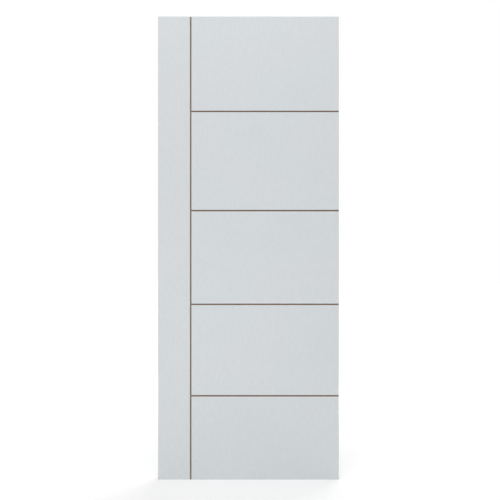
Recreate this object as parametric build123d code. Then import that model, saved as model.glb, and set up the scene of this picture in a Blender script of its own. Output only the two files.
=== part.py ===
"""Grooved flush door leaf: two routed board skins glued on a hollow timber frame.

Millimetres. +Z is up, +X points out of the hinge edge and -Y out of the front face.
The origin is on the hinge edge, at the foot of the leaf and in the middle of its thickness.
"""
from build123d import *

import os
from itertools import accumulate

# Leaf. The lower panels are counted from the floor up, from groove centre line to groove centre line,
# and the top panel takes the rest of the height.
LEAF_HEIGHT = 2100.0
LEAF_WIDTH = 820.0
LEAF_THICKNESS = 35.0
LOWER_PANEL_HEIGHTS = (380.0, 415.0, 425.0, 450.0)
LOCK_STRIP_WIDTH = 145.0

# Skins, and the grooves routed into them.
SKIN_THICKNESS = 6.0
ARRIS_RADIUS = 1.0
GROOVE_WIDTH = 6.0
GROOVE_DEPTH = 3.0
GROOVE_LIP = 0.4

# Frame boards. The groove stile and the cross rails back the grooves.
STILE_WIDTH = 45.0
END_RAIL_WIDTH = 80.0
GROOVE_STILE_WIDTH = 60.0
CROSS_RAIL_WIDTH = 70.0
LOCK_BLOCK_LENGTH = 400.0
LOCK_HEIGHT = 1050.0

# How far a cutter runs on past the board it cuts.
CUT_OVERRUN = 5.0

# Places worked out from the sizes above.
FRAME_THICKNESS = LEAF_THICKNESS - 2 * SKIN_THICKNESS
HINGE_EDGE_X = 0.0
LOCK_EDGE_X = HINGE_EDGE_X - LEAF_WIDTH
FRONT_FACE_Y = -LEAF_THICKNESS / 2
UPRIGHT_GROOVE_X = LOCK_EDGE_X + LOCK_STRIP_WIDTH + GROOVE_WIDTH / 2
CROSS_GROOVE_HEIGHTS = list(accumulate(LOWER_PANEL_HEIGHTS))


def groove_profile():
    """Section of a straight router bit's cut: flat bottom, square walls and eased lips.

    X runs across the groove and Y out of the board, with the board's face at zero.
    """
    half_width = GROOVE_WIDTH / 2
    flare = GROOVE_LIP + CUT_OVERRUN
    right_side = [
        (half_width, -GROOVE_DEPTH),
        (half_width, -GROOVE_LIP),
        (half_width + flare, CUT_OVERRUN),
    ]
    left_side = [(-x, y) for x, y in reversed(right_side)]
    return make_face(Polyline(*right_side, *left_side, close=True))


def groove_cutter(start, direction, length):
    """The groove's section carried along a straight run on the front face."""
    run = Plane(origin=start, x_dir=Vector(0, -1, 0).cross(Vector(direction)), z_dir=direction)
    return extrude(run * groove_profile(), amount=length)


def upright_groove():
    """The groove beside the lock strip, from below the foot of the leaf to above its top."""
    start = (UPRIGHT_GROOVE_X, FRONT_FACE_Y, -CUT_OVERRUN)
    return groove_cutter(start, (0, 0, 1), LEAF_HEIGHT + 2 * CUT_OVERRUN)


def cross_groove(height):
    """One groove from the middle of the upright groove out through the hinge edge."""
    start = (UPRIGHT_GROOVE_X, FRONT_FACE_Y, height)
    return groove_cutter(start, (1, 0, 0), HINGE_EDGE_X - UPRIGHT_GROOVE_X + CUT_OVERRUN)


def front_skin():
    """Face board with its two long outer arrises eased and the grooves routed in."""
    middle_x = (LOCK_EDGE_X + HINGE_EDGE_X) / 2
    outline = Pos(middle_x, FRONT_FACE_Y + SKIN_THICKNESS / 2) * Rectangle(LEAF_WIDTH, SKIN_THICKNESS)
    outer_corners = outline.vertices().group_by(Axis.Y)[0]
    sheet = extrude(fillet(outer_corners, ARRIS_RADIUS), amount=LEAF_HEIGHT)
    cutters = [upright_groove()] + [cross_groove(height) for height in CROSS_GROOVE_HEIGHTS]
    return sheet - cutters


def frame_board(from_x, to_x, from_z, to_z):
    """A straight board of the frame, planed to the gap between the skins."""
    middle = Pos((from_x + to_x) / 2, 0, (from_z + to_z) / 2)
    return middle * Box(to_x - from_x, FRAME_THICKNESS, to_z - from_z)


def outer_frame():
    """The two stiles over the full height, and the end rails between them."""
    lock_side = LOCK_EDGE_X + STILE_WIDTH
    hinge_side = HINGE_EDGE_X - STILE_WIDTH
    top_rail_foot = LEAF_HEIGHT - END_RAIL_WIDTH
    return {
        "lock_stile": frame_board(LOCK_EDGE_X, lock_side, 0, LEAF_HEIGHT),
        "hinge_stile": frame_board(hinge_side, HINGE_EDGE_X, 0, LEAF_HEIGHT),
        "bottom_rail": frame_board(lock_side, hinge_side, 0, END_RAIL_WIDTH),
        "top_rail": frame_board(lock_side, hinge_side, top_rail_foot, LEAF_HEIGHT),
    }


def groove_backing():
    """The stile behind the upright groove, the rails behind the others, and the lock block."""
    lock_side = UPRIGHT_GROOVE_X - GROOVE_STILE_WIDTH / 2
    hinge_side = UPRIGHT_GROOVE_X + GROOVE_STILE_WIDTH / 2
    top_rail_foot = LEAF_HEIGHT - END_RAIL_WIDTH
    boards = {"groove_stile": frame_board(lock_side, hinge_side, END_RAIL_WIDTH, top_rail_foot)}
    for number, height in enumerate(CROSS_GROOVE_HEIGHTS, start=1):
        boards[f"cross_rail_{number}"] = frame_board(
            hinge_side,
            HINGE_EDGE_X - STILE_WIDTH,
            height - CROSS_RAIL_WIDTH / 2,
            height + CROSS_RAIL_WIDTH / 2,
        )
    boards["lock_block"] = frame_board(
        LOCK_EDGE_X + STILE_WIDTH,
        lock_side,
        LOCK_HEIGHT - LOCK_BLOCK_LENGTH / 2,
        LOCK_HEIGHT + LOCK_BLOCK_LENGTH / 2,
    )
    return boards


def door_leaf():
    """Every piece of the leaf by its name."""
    face = front_skin()
    skins = {"front_skin": face, "back_skin": mirror(face, about=Plane.XZ)}
    return skins | outer_frame() | groove_backing()


os.makedirs("parts", exist_ok=True)
for name, piece in door_leaf().items():
    export_step(piece, f"parts/{name}.step")
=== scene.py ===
"""A grooved flush door leaf, finished as a joinery shop leaves it: bare pine edges, primed and routed skins.

Metres, in the leaf's own frame: +Z is up, +X points out of the hinge edge and -Y out of the front face.
"""

import math

import bpy
import numpy as np
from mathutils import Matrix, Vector


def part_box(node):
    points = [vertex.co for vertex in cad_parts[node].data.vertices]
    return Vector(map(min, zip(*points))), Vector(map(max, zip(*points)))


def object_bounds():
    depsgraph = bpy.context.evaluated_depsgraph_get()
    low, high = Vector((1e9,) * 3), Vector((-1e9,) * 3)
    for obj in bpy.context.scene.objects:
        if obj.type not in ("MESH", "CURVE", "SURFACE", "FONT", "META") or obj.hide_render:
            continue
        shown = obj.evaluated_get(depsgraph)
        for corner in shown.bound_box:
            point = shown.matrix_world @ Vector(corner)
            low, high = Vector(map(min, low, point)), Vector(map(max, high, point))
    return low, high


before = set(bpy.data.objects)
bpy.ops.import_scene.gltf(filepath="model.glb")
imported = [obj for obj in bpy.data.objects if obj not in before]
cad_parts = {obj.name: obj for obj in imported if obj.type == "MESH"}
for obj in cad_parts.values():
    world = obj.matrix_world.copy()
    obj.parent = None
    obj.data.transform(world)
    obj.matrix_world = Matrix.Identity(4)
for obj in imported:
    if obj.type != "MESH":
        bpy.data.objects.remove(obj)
leaf_low, leaf_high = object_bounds()


# Stiles and end rails: the outer frame of the leaf, planed pine between the two skins.
# The stock is glued up from short finger-jointed blocks, and the corners are butted and glued.
# Only the outer edges and the ends show, as bare wood with its grain, fingers, pin knots and end grain.
EARLY_WOOD = (226, 194, 148)
LATE_WOOD = (186, 138, 88)
KNOT_WOOD = (126, 78, 44)
JOINT_GLUE = (150, 108, 66)
DARKEST_BLOCK, PALEST_BLOCK = 0.88, 1.08
END_GRAIN_SHADE = 0.76
SMOOTH_WOOD, ROUGH_WOOD = 0.52, 0.68
WOOD_RELIEF = 0.00006
WOOD_GLOSS = 0.35
SEED_STEP = 7.3


def linear(screen_colour):
    """Screen colour, 0 to 255, as the linear red, green and blue that a shader works in.

    The screen's own curve is undone: a straight line for the darkest shares, and a power for the others.
    """
    share = np.array(screen_colour) / 255.0
    return np.where(share <= 0.04045, share / 12.92, ((share + 0.055) / 1.055) ** 2.4).tolist()


class Amount:
    """A number that a shader works out at each point of a surface, for use in plain formulas."""

    def __init__(self, finish, socket):
        self.finish = finish
        self.socket = socket

    def __add__(self, other):
        return self.finish.calc("ADD", self, other)

    def __sub__(self, other):
        return self.finish.calc("SUBTRACT", self, other)

    def __rsub__(self, other):
        return self.finish.calc("SUBTRACT", other, self)

    def __mul__(self, other):
        return self.finish.calc("MULTIPLY", self, other)

    def __truediv__(self, other):
        return self.finish.calc("DIVIDE", self, other)

    def __abs__(self):
        return self.finish.calc("ABSOLUTE", self)


class Finish:
    """A finish in the making, of a surface or of the surround: short calls that add nodes to its shader."""

    CELL_UNEVENNESS = 0.7
    NOISE_LOW, NOISE_HIGH = 0.25, 0.75

    def __init__(self, material):
        material.use_nodes = True
        self.material = material
        self.tree = material.node_tree
        shaders = ("BSDF_PRINCIPLED", "BACKGROUND")
        self.shader = next(node for node in self.tree.nodes if node.type in shaders)

    def feed(self, socket, value):
        """Links a socket to what the shader works out, or sets it to a plain number or colour."""
        if isinstance(value, Amount):
            self.tree.links.new(value.socket, socket)
        elif isinstance(value, bpy.types.NodeSocket):
            self.tree.links.new(value, socket)
        elif socket.type == "RGBA":
            socket.default_value = (*value, 1.0)
        else:
            socket.default_value = value

    def add(self, kind, feeds, **settings):
        """A node with these settings and inputs, as its outputs."""
        node = self.tree.nodes.new(kind)
        for name, value in settings.items():
            setattr(node, name, value)
        for name, value in feeds.items():
            self.feed(node.inputs[name], value)
        return node.outputs

    def calc(self, operation, *numbers):
        """One step of arithmetic."""
        return Amount(self, self.add("ShaderNodeMath", dict(enumerate(numbers)), operation=operation)[0])

    def apart(self, across, along):
        """How far a point lies from another: the root of the two squares added."""
        return self.calc("SQRT", across * across + along * along)

    def split(self, vector):
        """The three numbers in a vector or colour."""
        return [Amount(self, part) for part in self.add("ShaderNodeSeparateXYZ", {"Vector": vector})]

    def vector(self, x, y, z):
        """Three numbers as one vector."""
        return self.add("ShaderNodeCombineXYZ", {"X": x, "Y": y, "Z": z})["Vector"]

    def place(self):
        """Where a point of the surface is, as x, y and z in metres."""
        return self.split(self.add("ShaderNodeTexCoord", {})["Object"])

    def facing(self):
        """Which way the surface faces, as the x, y and z of its normal."""
        return self.split(self.add("ShaderNodeNewGeometry", {})["Normal"])

    def fade(self, value, start, end, low=0.0, high=1.0):
        """A smooth step from low to high as value goes from start to end."""
        feeds = {"Value": value, "From Min": start, "From Max": end, "To Min": low, "To Max": high}
        return Amount(self, self.add("ShaderNodeMapRange", feeds, interpolation_type="SMOOTHSTEP")["Result"])

    def noise(self, vector, scale, detail=2.0):
        """Cloudy noise from 0 to 1, with about scale clouds to the metre."""
        feeds = {"Vector": vector, "Scale": scale, "Detail": detail}
        return Amount(self, self.add("ShaderNodeTexNoise", feeds)["Fac"])

    def cells(self, along, feature):
        """Cells of uneven length, about 1 long, on one axis, as the outputs of their node."""
        feeds = {"W": along, "Scale": 1.0, "Randomness": self.CELL_UNEVENNESS}
        return self.add("ShaderNodeTexVoronoi", feeds, voronoi_dimensions="1D", feature=feature)

    def mix(self, share, colour, other):
        """Colour where share is 0, and other where it is 1."""
        # The node has sockets for several kinds of value, and those for colours are 6 and 7 in and 2 out.
        feeds = {"Factor": share, 6: colour, 7: other}
        return self.add("ShaderNodeMix", feeds, data_type="RGBA")[2]

    def shade(self, colour, factor):
        """A colour made lighter or darker by a factor."""
        return self.add("ShaderNodeVectorMath", {0: colour, "Scale": factor}, operation="SCALE")["Vector"]

    def vary(self, colour, noise, share):
        """A colour darker by that share where the noise is low, and lighter by it where it is high."""
        factor = self.fade(noise, self.NOISE_LOW, self.NOISE_HIGH, 1.0 - share, 1.0 + share)
        return self.shade(colour, factor)

    def cover(self, colour, roughness, height, relief, gloss):
        """Puts the finish on its shader. Relief is how many metres a height of 1 stands out."""
        bump = self.add("ShaderNodeBump", {"Height": height, "Distance": relief, "Strength": 1.0})
        self.feed(self.shader.inputs["Base Color"], colour)
        self.feed(self.shader.inputs["Roughness"], roughness)
        self.feed(self.shader.inputs["Normal"], bump["Normal"])
        self.feed(self.shader.inputs["Specular IOR Level"], gloss)
        return self.material


# Blocks, and the glue in their finger joints: its core, and the rim where it has faded out.
BLOCK_LENGTH = 0.46
FINGER_LENGTH = 0.010
FINGER_PITCH = 0.0042
GLUE_CORE, GLUE_RIM = 0.00066, 0.0022
GLUE_COVER = 0.7


def finger_blocks(pine, along, through, seed):
    """Blocks of uneven length, with a zigzag through the board's thickness added for the fingers.

    Gives three chance numbers for the block that a point is in, and how far the point is from a joint.
    """
    tooth = pine.calc("PINGPONG", through, FINGER_PITCH / 2) * (2 * FINGER_LENGTH / FINGER_PITCH)
    step = (along + tooth) / BLOCK_LENGTH + seed
    chances = pine.split(pine.cells(step, "F1")["Color"])
    to_joint = Amount(pine, pine.cells(step, "DISTANCE_TO_EDGE")["Distance"]) * BLOCK_LENGTH
    return chances, to_joint


# Pin knots. Core, rim and swell are reached at so many radii of a knot, and the swell is so many rings high.
KNOT_SPACING = 0.55
KNOT_SEED_STEP = 2.7
KNOT_STRETCH = 1.6
EMPTY_CHANCE, KNOT_CHANCE = 0.45, 0.5
SMALLEST_KNOT, LARGEST_KNOT = 0.0013, 0.0045
NO_KNOT = 1e-6
KNOT_CORE, KNOT_RIM = 0.7, 1.3
KNOT_COVER = 0.9
SWELL_FULL, SWELL_ENDS = 0.5, 4.0
SWELL_RINGS = 2.4


def pin_knots(pine, along, through, low, high, seed):
    """How far a point is from the nearest pin knot, in radii of that knot.

    About every other cell along the board holds a knot, at a chance place in the board's thickness.
    It is drawn out along the grain.
    """
    cells = pine.cells(along / KNOT_SPACING + KNOT_SEED_STEP * seed, "F1")
    place, size, chance = pine.split(cells["Color"])
    beside = through - pine.fade(place, 0.0, 1.0, low.y, high.y)
    beyond = Amount(pine, cells["Distance"]) * (KNOT_SPACING / KNOT_STRETCH)
    radius = pine.fade(size, 0.0, 1.0, SMALLEST_KNOT, LARGEST_KNOT)
    return pine.apart(beside, beyond) / (radius * pine.fade(chance, EMPTY_CHANCE, KNOT_CHANCE) + NO_KNOT)


# Growth rings. Late wood starts, is full and stops at these shares of a ring.
RING_SPACING = 0.0032
LATE_STARTS, LATE_FULL, LATE_STOPS = 0.2, 0.88, 0.9
PITH_NEAREST = 0.03
PITH_SPREAD = 0.06
GRAIN_BEND = 0.03
BENDS_TO_METRE = 2.6
BEND_STRETCH = 9.0


def growth_rings(pine, along, across, through, turn, reach, in_knots):
    """Share of late wood, which darkens each ring slowly outwards and ends sharply.

    A ring is a cylinder round the pith, a line along the block that lies beside the board. Its number is
    the distance from that line over the ring spacing, bent by slow noise and swelled round each knot.
    """
    angle = turn * (2 * math.pi)
    far = reach * PITH_SPREAD + PITH_NEAREST
    beside = across + pine.calc("COSINE", angle) * far
    below = through + pine.calc("SINE", angle) * far
    winding = pine.vector(across * BEND_STRETCH, through * BEND_STRETCH, along)
    bend = pine.noise(winding, BENDS_TO_METRE, 1.0) * GRAIN_BEND
    swell = pine.fade(in_knots, SWELL_FULL, SWELL_ENDS, SWELL_RINGS * RING_SPACING, 0.0)
    ring = pine.calc("FRACT", (pine.apart(beside, below) + bend + swell) / RING_SPACING)
    return pine.fade(ring, LATE_STARTS, LATE_FULL) * pine.fade(ring, LATE_STOPS, 1.0, 1.0, 0.0)


# Fibres, streaks and resin canals, which tint the early wood, and the planer's marks.
FIBRES_TO_METRE = 1500.0
FIBRE_STRETCH = 32.0
FIBRE_TINT = 0.25
FLAT_FIBRE, RAISED_FIBRE = 0.2, 0.8
STREAKS_TO_METRE = 260.0
STREAK_TONE = 0.05
CANALS_TO_METRE = 2600.0
CANAL_STARTS, CANAL_FULL = 0.70, 0.78
CANAL_TINT = 0.3
LATE_RISE = 0.5
PLANER_PITCH = 0.0018
PLANER_RISE = 0.06


def pine_finish(node_name, seed):
    """Planed pine, glued up from finger-jointed blocks, with its grain along the board's longer side.

    Early wood is darkened by late wood, and by fibres and resin canals drawn out along the grain. Each
    block has a tone of its own. Knots and glue go over it, and end grain is darker all over.
    """
    low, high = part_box(node_name)
    middle = (low + high) / 2
    upright = high.z - low.z > high.x - low.x
    pine = Finish(bpy.data.materials.new(f"pine_{node_name}"))
    x, y, z = pine.place()
    along, across = (z, x - middle.x) if upright else (x, z - middle.z)
    (turn, reach, tone), to_joint = finger_blocks(pine, along, y, seed)
    in_knots = pin_knots(pine, along, y, low, high, seed)
    late = growth_rings(pine, along, across, y, turn, reach, in_knots)

    drawn_out = pine.vector(across, y, along / FIBRE_STRETCH)
    fibre = pine.noise(drawn_out, FIBRES_TO_METRE)
    streak = pine.noise(drawn_out, STREAKS_TO_METRE)
    canal = pine.fade(pine.noise(drawn_out, CANALS_TO_METRE, 0.0), CANAL_STARTS, CANAL_FULL)
    end_on = abs(pine.facing()[2 if upright else 0])
    knot = pine.fade(in_knots, KNOT_CORE, KNOT_RIM, KNOT_COVER, 0.0)
    glue = pine.fade(to_joint, GLUE_CORE, GLUE_RIM, GLUE_COVER, 0.0)
    tint = late + canal * CANAL_TINT + fibre * FIBRE_TINT
    wood = pine.mix(tint, linear(EARLY_WOOD), linear(LATE_WOOD))
    wood = pine.shade(wood, pine.fade(tone, 0.0, 1.0, DARKEST_BLOCK, PALEST_BLOCK))
    wood = pine.vary(wood, streak, STREAK_TONE)
    wood = pine.mix(knot, wood, linear(KNOT_WOOD))
    wood = pine.shade(wood, 1.0 - end_on * (1.0 - END_GRAIN_SHADE))
    wood = pine.mix(glue, wood, linear(JOINT_GLUE))

    planed = pine.calc("SINE", along * (2 * math.pi / PLANER_PITCH))
    height = fibre + late * LATE_RISE + planed * PLANER_RISE
    roughness = pine.fade(fibre, FLAT_FIBRE, RAISED_FIBRE, SMOOTH_WOOD, ROUGH_WOOD)
    return pine.cover(wood, roughness, height, WOOD_RELIEF, WOOD_GLOSS)


outer_boards = ("lock_stile", "hinge_stile", "top_rail", "bottom_rail")
for number, name in enumerate(outer_boards):
    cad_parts[name].material_slots[0].material = pine_finish(name, SEED_STEP * number)


# Groove stile, cross rails and lock block: the same pine, closed in between the skins.
# They back the skins where the grooves leave them thin, and give a lock case something to be let into.
# Each is glued between the outer boards, with its grain along its longer side.
inner_boards = sorted(set(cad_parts) - set(outer_boards) - {"front_skin", "back_skin"})
for number, name in enumerate(inner_boards, start=len(outer_boards)):
    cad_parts[name].material_slots[0].material = pine_finish(name, SEED_STEP * number)


# Skins: dense fibreboard sheets, glued on and sprayed with a pale blue-grey primer, then routed.
# The cutter lays the brown board bare in the grooves, and leaves fine marks across its run.
# Spray carries over the arris and fades out in drops, so most of each outer edge is bare board too.
COOL_PRIMER = (210, 216, 218)
WARM_PRIMER = (213, 216, 218)
BARE_BOARD = (132, 110, 90)
SMOOTH_PRIMER, ROUGH_PRIMER, ROUGH_BOARD = 0.48, 0.56, 0.85
FLAT_PRIMER, RAISED_PRIMER = 0.3, 1.0
PRIMER_RELIEF = 0.00006
PRIMER_GLOSS = 0.35

# Bare board: its pale core, thin layers and fibre flecks, and the cutter's marks.
PALE_CORE, DARK_FACE = 1.1, 0.84
CORE_SHARE = 0.35
LAYERS_TO_METRE = 2600.0
LAYER_STRETCH = 25.0
LAYER_TONE = 0.07
FLECKS_TO_METRE = 1400.0
FLECK_DETAIL = 3.0
FLECK_TONE = 0.14
FLECK_RISE = 2.0
HALF_GROOVE = 0.0034
CUTTER_PITCH = 0.0013
CUTTER_TONE = 0.06
CUTTER_RISE = 0.4


def fibreboard(skin, x, y, z):
    """Colour and height of bare board: denser and darker at its two faces than at its core.

    It has thin layers, fibre flecks, and the cutter's marks as a ripple along each run: upwards in the
    upright groove and on the leaf's long edges, and across the leaf elsewhere.
    """
    sheet_low, sheet_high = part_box("front_skin")
    stile_low, stile_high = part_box("groove_stile")
    depth = leaf_high.y - abs(y)
    from_core = abs(depth / ((sheet_high.y - sheet_low.y) / 2) - 1.0)
    layer = skin.noise(skin.vector(x / LAYER_STRETCH, y, z / LAYER_STRETCH), LAYERS_TO_METRE)
    fleck = skin.noise(skin.vector(x, y, z), FLECKS_TO_METRE, FLECK_DETAIL)
    from_upright = abs(x - (stile_low.x + stile_high.x) / 2)
    to_side = skin.calc("MINIMUM", x - leaf_low.x, leaf_high.x - x)
    runs_up = skin.calc("LESS_THAN", skin.calc("MINIMUM", from_upright, to_side), HALF_GROOVE)
    run = x + (z - x) * runs_up
    ripple = skin.calc("SINE", run * (2 * math.pi / CUTTER_PITCH))
    board = skin.shade(linear(BARE_BOARD), skin.fade(from_core, CORE_SHARE, 1.0, PALE_CORE, DARK_FACE))
    board = skin.vary(board, layer, LAYER_TONE)
    board = skin.vary(board, fleck, FLECK_TONE)
    board = skin.shade(board, ripple * CUTTER_TONE + 1.0)
    return board, fleck * FLECK_RISE + ripple * CUTTER_RISE


# Primer: clouds of the two tones, a lay, a stipple and a tooth over them, and a small darker spot.
CLOUDS_TO_METRE = 2.4
COOL_CLOUD, WARM_CLOUD = 0.3, 0.7
LAY_TO_METRE = 130.0
LAY_STRETCH = 2.5
LAY_TONE = 0.017
STIPPLE_TO_METRE = 480.0
STIPPLE_TONE = 0.02
TOOTH_TO_METRE = 2600.0
TOOTH_TONE = 0.015
TOOTH_RISE = 0.3
DARK_SPOT_X, DARK_SPOT_Z = -0.644, 0.083
DARK_SPOT_CORE, DARK_SPOT_RIM = 0.0036, 0.0096
DARK_SPOT_RAG = 0.006
DARK_SPOT_SHADE = 0.84


def primer_coat(skin, x, y, z):
    """Colour and height of sprayed primer: two close tones in clouds, with a faint upright lay.

    Over them lie a stipple, a finer tooth and one small spot painted darker, near the foot of the front.
    """
    here = skin.vector(x, y, z)
    cloud = skin.noise(here, CLOUDS_TO_METRE, 1.0)
    lay = skin.noise(skin.vector(x, y, z / LAY_STRETCH), LAY_TO_METRE)
    stipple = skin.noise(here, STIPPLE_TO_METRE)
    tooth = skin.noise(here, TOOTH_TO_METRE)
    # One small round spot near the foot of the front is painted darker than the primer round it.
    from_dark_spot = skin.apart(x - DARK_SPOT_X, z - DARK_SPOT_Z) + stipple * DARK_SPOT_RAG
    dark_spot = skin.fade(from_dark_spot, DARK_SPOT_CORE, DARK_SPOT_RIM, DARK_SPOT_SHADE, 1.0)
    on_back = skin.calc("GREATER_THAN", y, 0.0)
    primer = skin.mix(skin.fade(cloud, COOL_CLOUD, WARM_CLOUD), linear(COOL_PRIMER), linear(WARM_PRIMER))
    primer = skin.vary(primer, lay, LAY_TONE)
    primer = skin.vary(primer, stipple, STIPPLE_TONE)
    primer = skin.vary(primer, tooth, TOOTH_TONE)
    primer = skin.shade(primer, skin.calc("MAXIMUM", dark_spot, on_back))
    return primer, stipple + tooth * TOOTH_RISE


# Where the primer ends, as depths below the face: at a groove's lip, and past the spray on the outer edges.
LIP_PRIMED, LIP_BARE = 0.000105, 0.000195
LIP_RAG = 0.00012
EDGE_PRIMED, EDGE_BARE = 0.0027, 0.0051
WANDERS_TO_METRE = 120.0
WANDER_REACH = 0.003
DROPS_TO_METRE = 3600.0
DROP_REACH = 0.0015
ARRIS_WITHIN, ARRIS_BEYOND = 0.00099, 0.00121


def bared(skin, x, y, z):
    """Share of bare board: none on the face, all in the grooves, and on the edges all but the sprayed rim.

    In a groove it starts right below the lip, a little raggedly. Within an arris of the leaf's outline it
    starts deeper, along a wandering line of fine drops.
    """
    here = skin.vector(x, y, z)
    depth = leaf_high.y - abs(y)
    rag = skin.noise(here, FLECKS_TO_METRE, FLECK_DETAIL) * LIP_RAG
    routed = skin.fade(depth + rag, LIP_PRIMED, LIP_BARE)
    drops = skin.noise(here, WANDERS_TO_METRE) * WANDER_REACH + skin.noise(here, DROPS_TO_METRE) * DROP_REACH
    unsprayed = skin.fade(depth + drops, EDGE_PRIMED, EDGE_BARE)
    to_side = skin.calc("MINIMUM", x - leaf_low.x, leaf_high.x - x)
    to_end = skin.calc("MINIMUM", z - leaf_low.z, leaf_high.z - z)
    at_edge = skin.fade(skin.calc("MINIMUM", to_side, to_end), ARRIS_WITHIN, ARRIS_BEYOND, 1.0, 0.0)
    return routed + (unsprayed - routed) * at_edge


def skin_finish(name):
    """Primer over fibreboard, laid bare where the cutter went and where the spray didn't reach."""
    skin = Finish(bpy.data.materials.new(name))
    x, y, z = skin.place()
    board, marks = fibreboard(skin, x, y, z)
    primer, grain = primer_coat(skin, x, y, z)
    bare = bared(skin, x, y, z)
    coat = skin.fade(grain, FLAT_PRIMER, RAISED_PRIMER, SMOOTH_PRIMER, ROUGH_PRIMER)
    roughness = coat + (ROUGH_BOARD - coat) * bare
    colour = skin.mix(bare, primer, board)
    return skin.cover(colour, roughness, grain + bare * marks, PRIMER_RELIEF, PRIMER_GLOSS)


primed_board = skin_finish("primed_board")
for name in ("front_skin", "back_skin"):
    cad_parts[name].material_slots[0].material = primed_board


# Floor: plain pale ground, level with the foot of the leaf.
# It shows white to the camera, by a glow that grows away from the leaf, and keeps the leaf's soft shadow.
FLOOR_SIDE = 60.0
FLOOR_LINES = 9
FLOOR_COLOUR = (240, 240, 240)
GLOW_NEAR, GLOW_FAR = 0.18, 0.58
GLOW_STARTS, GLOW_ENDS = 0.8, 4.0


def level_ground(side, lines):
    """A square grid: both parameters run from minus to plus half the side, and the height is 0."""
    line = np.linspace(-side / 2, side / 2, lines)
    across, back = np.meshgrid(line, line)
    points = np.stack([across, back, np.zeros_like(across)], axis=-1).reshape(-1, 3)
    corner = (np.arange(lines - 1)[:, None] * lines + np.arange(lines - 1)).ravel()
    faces = np.stack([corner, corner + 1, corner + lines + 1, corner + lines], axis=1)
    return points, faces


def seen(finish):
    """1 for a ray from the camera, also mirrored or through glass, and 0 for one that lights the leaf."""
    rays = finish.add("ShaderNodeLightPath", {})
    bounced = finish.calc("MAXIMUM", rays["Is Glossy Ray"], rays["Is Transmission Ray"])
    return finish.calc("MAXIMUM", rays["Is Camera Ray"], bounced)


leaf_middle = (leaf_low + leaf_high) / 2
points, faces = level_ground(FLOOR_SIDE, FLOOR_LINES)
ground = bpy.data.meshes.new("floor")
ground.from_pydata(points.tolist(), [], faces.tolist())
floor = bpy.data.objects.new("floor", ground)
bpy.context.scene.collection.objects.link(floor)
pale = Finish(bpy.data.materials.new("pale_floor"))
x, y, _ = pale.place()
from_leaf = pale.apart(x - leaf_middle.x, y)
glow = pale.fade(from_leaf, GLOW_STARTS, GLOW_ENDS, GLOW_NEAR, GLOW_FAR)
pale.feed(pale.shader.inputs["Base Color"], linear(FLOOR_COLOUR))
pale.feed(pale.shader.inputs["Roughness"], 1.0)
pale.feed(pale.shader.inputs["Specular IOR Level"], 0.0)
pale.feed(pale.shader.inputs["Emission Color"], (1.0, 1.0, 1.0))
pale.feed(pale.shader.inputs["Emission Strength"], seen(pale) * glow)
ground.materials.append(pale.material)


# Surround: an even pale light from all sides, as in a room with white walls.
# The camera sees it as plain white.
SURROUND_LIGHT = 0.54

bpy.context.scene.world = bpy.data.worlds.new("surround")
surround = Finish(bpy.context.scene.world)
surround.feed(surround.shader.inputs["Color"], (1.0, 1.0, 1.0))
surround.feed(surround.shader.inputs["Strength"], seen(surround) * (1.0 - SURROUND_LIGHT) + SURROUND_LIGHT)


# Lamps: square soft boxes, all turned to the middle of the leaf.
# A large one hangs above the front, a small one stands low on the lock side, and a third lights the back.
def soft_box(name, place, side, power):
    """A square lamp turned to the middle of the leaf, with its side in metres and its power in watts."""
    lamp = bpy.data.lights.new(name, "AREA")
    lamp.size = side
    lamp.energy = power
    stand = bpy.data.objects.new(name, lamp)
    stand.location = place
    stand.rotation_euler = (leaf_middle - Vector(place)).to_track_quat("-Z", "Y").to_euler()
    bpy.context.scene.collection.objects.link(stand)


soft_box("key", place=(-0.6, -2.0, 4.4), side=2.0, power=57.0)
soft_box("fill", place=(-0.8, -2.4, 0.3), side=0.6, power=11.0)
soft_box("back", place=(0.3, 2.8, 3.4), side=2.4, power=68.0)


# Camera: square on to the front face, through a long lens whose sizes are in millimetres.
# It is framed by where the leaf's ends and upright groove lie in the photo, in pixels from its top and left.
# A pixel's size on the leaf is the leaf's diagonal over its diagonal in the photo.
PHOTO_SIDE = 500.0
LEFT_EDGE, RIGHT_EDGE = 157.8, 340.1
TOP_EDGE, FOOT_EDGE = 16.9, 479.3
UPRIGHT_GROOVE = 190.7
LENS, SENSOR = 85.0, 36.0

leaf_size = leaf_high - leaf_low
stile_low, stile_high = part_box("groove_stile")
pixel = math.hypot(leaf_size.x, leaf_size.z) / math.hypot(RIGHT_EDGE - LEFT_EDGE, FOOT_EDGE - TOP_EDGE)
lens = bpy.data.cameras.new("camera")
lens.sensor_width = SENSOR
lens.lens = LENS
camera = bpy.data.objects.new("camera", lens)
bpy.context.scene.collection.objects.link(camera)
camera.location = (
    (stile_low.x + stile_high.x) / 2 + (PHOTO_SIDE / 2 - UPRIGHT_GROOVE) * pixel,
    leaf_low.y - PHOTO_SIDE * pixel * LENS / SENSOR,
    leaf_middle.z - (PHOTO_SIDE - TOP_EDGE - FOOT_EDGE) / 2 * pixel,
)
camera.rotation_euler = (math.pi / 2, 0.0, 0.0)
bpy.context.scene.camera = camera
bpy.context.scene.view_settings.view_transform = "Standard"
